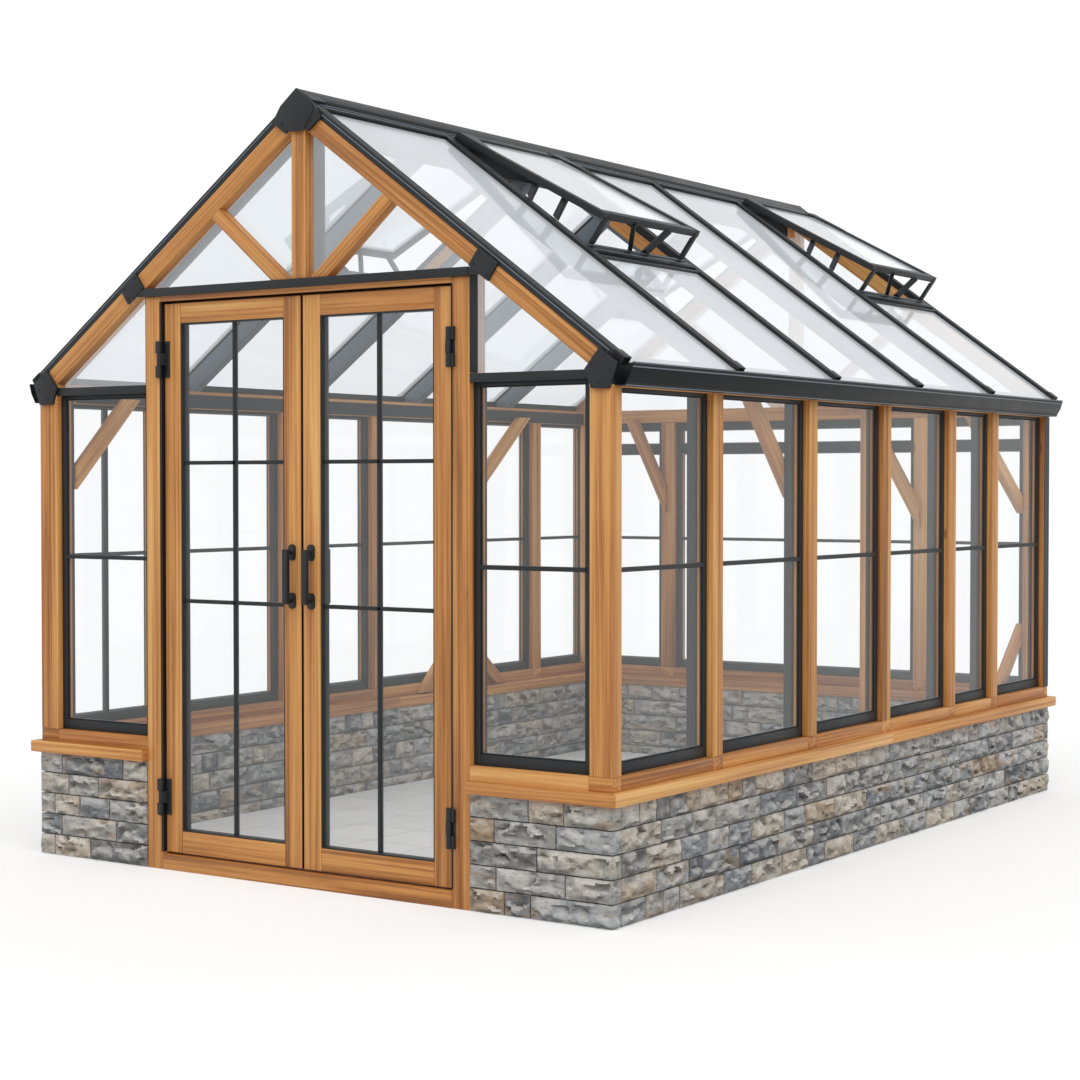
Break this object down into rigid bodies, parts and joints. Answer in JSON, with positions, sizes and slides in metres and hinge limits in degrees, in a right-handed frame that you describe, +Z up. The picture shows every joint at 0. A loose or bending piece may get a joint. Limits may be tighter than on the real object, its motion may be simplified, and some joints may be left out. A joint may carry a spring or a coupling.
{
  "type": "glass greenhouse",
  "caption": "Gabled greenhouse: timber frame and glass on a low stone wall, with a pair of hinged doors, open roof vents and gutters.",
  "frame": {"origin": "on the ground, under the middle of the building's bounding box", "axes": "+X to the right along the door gable, +Y to the back along the ridge, +Z up; the doors face -Y"},
  "size_m": [2.71, 3.83, 2.7776],
  "materials": {
    "stone": "split-face walling stone",
    "timber": "oiled cedar",
    "metal": "satin black powder coat",
    "glass": "clear glass",
    "tile": "pale matt floor tile"
  },
  "bodies": {
    "greenhouse": {"floor_slab": "tile", "front_stone_walls": "stone", "left_stone_wall": "stone", "right_stone_wall": "stone", "back_stone_wall": "stone", "front_sills": "timber", "left_sill": "timber", "right_sill": "timber", "back_sill": "timber", "corner_posts": "timber", "left_wall_studs": "timber", "right_wall_studs": "timber", "back_wall_posts": "timber", "wall_plates": "timber", "back_tie_beam": "timber", "wall_braces": "timber", "eave_beams": "metal", "door_jambs": "timber", "door_head": "timber", "door_threshold": "timber", "cross_bars": "metal", "front_window_frames": "metal", "left_window_frames": "metal", "right_window_frames": "metal", "back_window_frames": "metal", "front_window_glass": "glass", "left_wall_glass": "glass", "right_wall_glass": "glass", "back_wall_glass": "glass", "gable_rafters": "timber", "common_rafters": "metal", "ridge_board": "timber", "king_posts": "timber", "gable_braces": "timber", "gable_glass": "glass", "roof_bars": "metal", "roof_rails": "metal", "ridge_cap": "metal", "roof_glass": "glass", "vent_sashes": "metal", "vent_glass": "glass", "vent_stays": "metal", "gutters": "metal", "gusset_plates": "metal", "hinge_brackets": "metal"},
    "left_door": {"left_door_frame": "timber", "left_door_glass": "glass", "left_door_handles": "metal", "left_door_hinges": "metal"},
    "right_door": {"right_door_frame": "timber", "right_door_glass": "glass", "right_door_handles": "metal", "right_door_hinges": "metal"}
  },
  "joints": [
    {"name": "left_door_hinge", "type": "hinge", "parent": "greenhouse", "child": "left_door", "pos_m": [-0.6525, -1.896, 1.064], "axis": [0, 0, -1], "range_deg": [0, 120]},
    {"name": "right_door_hinge", "type": "hinge", "parent": "greenhouse", "child": "right_door", "pos_m": [0.6525, -1.896, 1.064], "axis": [0, 0, 1], "range_deg": [0, 120]}
  ]
}
